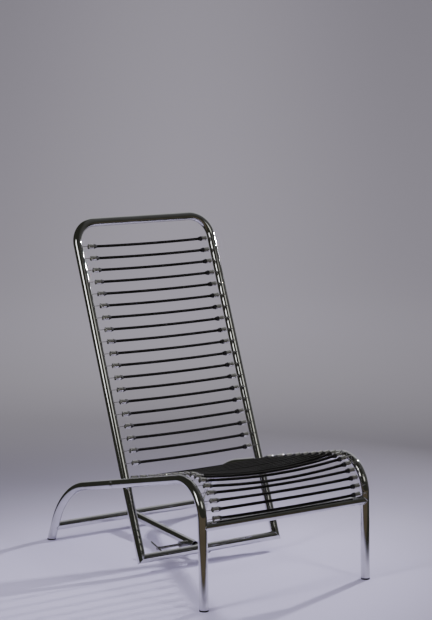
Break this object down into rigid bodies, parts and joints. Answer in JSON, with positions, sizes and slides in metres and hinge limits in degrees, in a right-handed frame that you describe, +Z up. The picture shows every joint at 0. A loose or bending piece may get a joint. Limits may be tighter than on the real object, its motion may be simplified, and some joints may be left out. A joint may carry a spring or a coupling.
{
  "type": "tilting lounge chair",
  "caption": "Low lounge chair of bent chromed tube with a seat and back of stretched black elastic cords, and a telescopic strut that sets the tilt of the back.",
  "frame": {"origin": "on the floor, in the middle of the chair's length and width", "axes": "+X to the right seen from the front, the chair faces -Y, +Z up"},
  "size_m": [0.562, 0.8592, 0.9593],
  "materials": {
    "chrome_tube": "bright chrome plate on bent steel tube",
    "zinc_wire": "dull zinc-plated spring wire",
    "plain_steel": "plain turned steel, dulled",
    "elastic_cord": "black braided cover over a rubber core",
    "rubber_tip": "matte black rubber"
  },
  "bodies": {
    "base": {"side_frame_left": "chrome_tube", "side_frame_right": "chrome_tube", "front_crossbar": "chrome_tube", "rear_crossbar": "chrome_tube", "foot_front_left": "rubber_tip", "foot_front_right": "rubber_tip", "foot_rear_left": "rubber_tip", "foot_rear_right": "rubber_tip", "pivot_bolt_left": "chrome_tube", "pivot_bolt_right": "chrome_tube", "pivot_spacer_left": "chrome_tube", "pivot_spacer_right": "chrome_tube", "pivot_nut_left": "chrome_tube", "pivot_nut_right": "chrome_tube", "seat_cords": "elastic_cord", "front_cords": "elastic_cord", "seat_cord_ends_left": "zinc_wire", "seat_cord_ends_right": "zinc_wire", "seat_hooks_left": "zinc_wire", "seat_hooks_right": "zinc_wire", "front_cord_ends_left": "zinc_wire", "front_cord_ends_right": "zinc_wire", "front_hooks_left": "zinc_wire", "front_hooks_right": "zinc_wire"},
    "back": {"back_frame": "chrome_tube", "back_crossbar": "chrome_tube", "back_lug": "plain_steel", "lug_pin": "plain_steel", "back_cords": "elastic_cord", "back_cord_ends_left": "zinc_wire", "back_cord_ends_right": "zinc_wire", "back_hooks_left": "zinc_wire", "back_hooks_right": "zinc_wire"},
    "strut": {"strut_sleeve": "chrome_tube", "strut_tube": "chrome_tube", "strut_boss": "plain_steel"},
    "rod": {"strut_rod": "chrome_tube", "rod_eye": "chrome_tube"},
    "screw": {"clamp_screw": "plain_steel", "clamp_ring": "plain_steel"},
    "bar": {"clamp_bar": "plain_steel"}
  },
  "joints": [
    {"name": "back_hinge", "type": "hinge", "parent": "base", "child": "back", "pos_m": [0, 0.04286, 0.24543], "axis": [-1, 0, 0], "range_deg": [-12, 17]},
    {"name": "strut_hinge", "type": "hinge", "parent": "base", "child": "strut", "pos_m": [0, 0.39511, 0.0445], "axis": [-1, 0, 0], "range_deg": [-2.4, 3.3]},
    {"name": "rod_hinge", "type": "hinge", "parent": "back", "child": "rod", "pos_m": [0, -0.01874, 0.02728], "axis": [-1, 0, 0], "range_deg": [-14.1, 10]},
    {"name": "screw_turn", "type": "hinge", "parent": "strut", "child": "screw", "pos_m": [-0.07, 0.06539, 0.03078], "axis": [1, 0, 0], "range_deg": [-30, 130]},
    {"name": "bar_slide", "type": "slide", "parent": "screw", "child": "bar", "axis": [0, 0.9687, 0.2484], "range_m": [-0.001, 0.01]}
  ],
  "couplings": [
    {"joint": "strut_hinge", "follows": "back_hinge", "ratio": 0.184},
    {"joint": "rod_hinge", "follows": "back_hinge", "ratio": -0.816}
  ]
}
